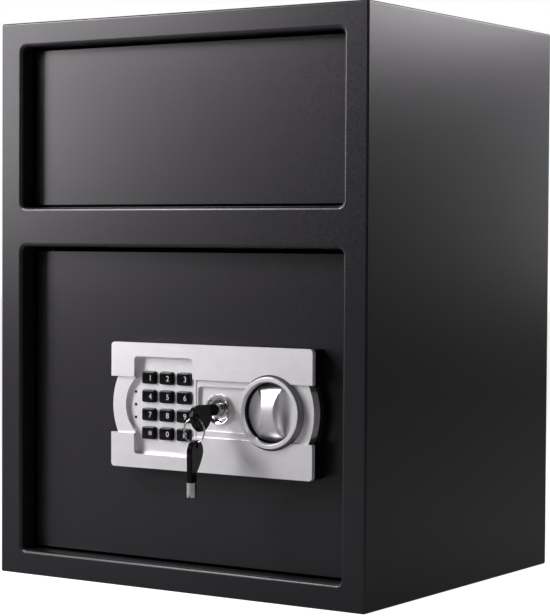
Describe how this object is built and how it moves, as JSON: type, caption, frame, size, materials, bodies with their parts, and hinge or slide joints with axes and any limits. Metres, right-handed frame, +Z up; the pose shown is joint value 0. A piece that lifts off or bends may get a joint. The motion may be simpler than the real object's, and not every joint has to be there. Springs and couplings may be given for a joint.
{
  "type": "drop safe with deposit drawer",
  "caption": "Upright black steel drop safe: a tilt-out deposit drawer above a hinged door with keypad, override key lock and bolt knob.",
  "frame": {"origin": "centre of the cabinet's base, on the face that rests on the floor", "axes": "+Z up, -Y out of the front with the drawer and the door, +X to the right seen from the front"},
  "size_m": [0.35, 0.3389, 0.45],
  "materials": {
    "black_paint": "satin black powder coat, fine orange peel",
    "grey_felt": "short grey needle felt",
    "silver_trim": "silver lacquer on moulded plastic, satin",
    "black_plastic": "moulded black, semi-gloss",
    "chrome": "bright plated",
    "brushed_steel": "satin brushed",
    "zinc_plate": "zinc plated, dull",
    "circuit_board": "green solder mask",
    "cell_wrap": "plain wrapped dry cells",
    "lamp_lens": "smoked lamp windows, unlit"
  },
  "bodies": {
    "cabinet": {"left_side_panel": "black_paint", "right_side_panel": "black_paint", "top_panel": "black_paint", "base_panel": "black_paint", "back_panel": "black_paint", "front_frame": "black_paint", "floor_mat": "grey_felt", "upper_hinge_bracket": "black_paint", "lower_hinge_bracket": "black_paint", "strike_bar": "black_paint", "drawer_bracket_left": "black_paint", "drawer_bracket_right": "black_paint", "anti_fishing_baffle": "black_paint"},
    "deposit_drawer": {"drawer_front": "black_paint", "hopper_floor": "black_paint", "hopper_cheek_left": "black_paint", "hopper_cheek_right": "black_paint", "drawer_pin_left": "zinc_plate", "drawer_pin_right": "zinc_plate"},
    "door": {"door_plate": "black_paint", "upper_hinge_block": "black_paint", "lower_hinge_block": "black_paint", "lock_base": "black_plastic", "lock_fascia": "silver_trim", "lamp_light_pipe": "lamp_lens", "knob_bezel": "silver_trim", "lock_escutcheon": "chrome", "bolt_guide": "zinc_plate", "solenoid_body": "zinc_plate", "inner_cover": "black_paint", "battery_holder": "black_plastic", "battery_pack": "cell_wrap", "control_board": "circuit_board"},
    "knob": {"knob_dial": "brushed_steel", "knob_spindle": "zinc_plate"},
    "bolt_work": {"bolt_carriage": "zinc_plate", "locking_bolt_upper": "chrome", "locking_bolt_lower": "chrome"},
    "lock_barrel": {"lock_barrel": "chrome"},
    "solenoid_plunger": {"solenoid_plunger": "brushed_steel"},
    "key": {"key_bow": "black_plastic", "key_tube": "brushed_steel"},
    "key_ring": {"key_ring": "chrome"},
    "spare_key": {"spare_key_bow": "black_plastic", "spare_key_tube": "brushed_steel"},
    "battery_door": {"battery_door": "black_paint"},
    "reset_button": {"reset_button": "black_plastic"},
    "button_1": {"button_1": "black_plastic"},
    "button_2": {"button_2": "black_plastic"},
    "button_3": {"button_3": "black_plastic"},
    "button_4": {"button_4": "black_plastic"},
    "button_5": {"button_5": "black_plastic"},
    "button_6": {"button_6": "black_plastic"},
    "button_7": {"button_7": "black_plastic"},
    "button_8": {"button_8": "black_plastic"},
    "button_9": {"button_9": "black_plastic"},
    "button_10": {"button_10": "black_plastic"},
    "button_11": {"button_11": "black_plastic"},
    "button_12": {"button_12": "black_plastic"}
  },
  "joints": [
    {"name": "drawer_tilt", "type": "hinge", "parent": "cabinet", "child": "deposit_drawer", "pos_m": [0, -0.125, 0.31], "axis": [1, 0, 0], "range_deg": [0, 40]},
    {"name": "door_swing", "type": "hinge", "parent": "cabinet", "child": "door", "pos_m": [-0.1415, -0.124, 0.144], "axis": [0, 0, 1], "range_deg": [-92, 0]},
    {"name": "knob_turn", "type": "hinge", "parent": "door", "child": "knob", "pos_m": [0.091, -0.14, 0.1442], "axis": [0, 1, 0], "range_deg": [0, 90]},
    {"name": "bolt_throw", "type": "slide", "parent": "door", "child": "bolt_work", "axis": [1, 0, 0], "range_m": [0, 0.016]},
    {"name": "barrel_turn", "type": "hinge", "parent": "door", "child": "lock_barrel", "pos_m": [0.041, -0.14, 0.1442], "axis": [0, 1, 0], "range_deg": [-90, 0]},
    {"name": "plunger_lift", "type": "slide", "parent": "door", "child": "solenoid_plunger", "axis": [0, 0, 1], "range_m": [0, 0.003]},
    {"name": "key_pull", "type": "slide", "parent": "lock_barrel", "child": "key", "axis": [0, -1, 0], "range_m": [0, 0.03]},
    {"name": "ring_swing", "type": "hinge", "parent": "key", "child": "key_ring", "pos_m": [0.0421, -0.1797, 0.13966], "axis": [1, 0, 0], "range_deg": [-60, 5]},
    {"name": "spare_key_swing", "type": "hinge", "parent": "key_ring", "child": "spare_key", "pos_m": [0.0421, -0.1797, 0.12086], "axis": [1, 0, 0], "range_deg": [-40, 5]},
    {"name": "battery_door_slide", "type": "slide", "parent": "door", "child": "battery_door", "axis": [-1, 0, 0], "range_m": [0, 0.045]},
    {"name": "reset_press", "type": "slide", "parent": "door", "child": "reset_button", "axis": [0, -1, 0], "range_m": [0, 0.0015], "stiffness_N_per_m": 200},
    {"name": "button_1_press", "type": "slide", "parent": "door", "child": "button_1", "axis": [0, 1, 0], "range_m": [0, 0.0012], "stiffness_N_per_m": 200},
    {"name": "button_2_press", "type": "slide", "parent": "door", "child": "button_2", "axis": [0, 1, 0], "range_m": [0, 0.0012], "stiffness_N_per_m": 200},
    {"name": "button_3_press", "type": "slide", "parent": "door", "child": "button_3", "axis": [0, 1, 0], "range_m": [0, 0.0012], "stiffness_N_per_m": 200},
    {"name": "button_4_press", "type": "slide", "parent": "door", "child": "button_4", "axis": [0, 1, 0], "range_m": [0, 0.0012], "stiffness_N_per_m": 200},
    {"name": "button_5_press", "type": "slide", "parent": "door", "child": "button_5", "axis": [0, 1, 0], "range_m": [0, 0.0012], "stiffness_N_per_m": 200},
    {"name": "button_6_press", "type": "slide", "parent": "door", "child": "button_6", "axis": [0, 1, 0], "range_m": [0, 0.0012], "stiffness_N_per_m": 200},
    {"name": "button_7_press", "type": "slide", "parent": "door", "child": "button_7", "axis": [0, 1, 0], "range_m": [0, 0.0012], "stiffness_N_per_m": 200},
    {"name": "button_8_press", "type": "slide", "parent": "door", "child": "button_8", "axis": [0, 1, 0], "range_m": [0, 0.0012], "stiffness_N_per_m": 200},
    {"name": "button_9_press", "type": "slide", "parent": "door", "child": "button_9", "axis": [0, 1, 0], "range_m": [0, 0.0012], "stiffness_N_per_m": 200},
    {"name": "button_10_press", "type": "slide", "parent": "door", "child": "button_10", "axis": [0, 1, 0], "range_m": [0, 0.0012], "stiffness_N_per_m": 200},
    {"name": "button_11_press", "type": "slide", "parent": "door", "child": "button_11", "axis": [0, 1, 0], "range_m": [0, 0.0012], "stiffness_N_per_m": 200},
    {"name": "button_12_press", "type": "slide", "parent": "door", "child": "button_12", "axis": [0, 1, 0], "range_m": [0, 0.0012], "stiffness_N_per_m": 200}
  ],
  "couplings": [
    {"joint": "knob_turn", "follows": "bolt_throw", "rad_per_m": 98.175},
    {"joint": "barrel_turn", "follows": "plunger_lift", "rad_per_m": -523.6}
  ]
}
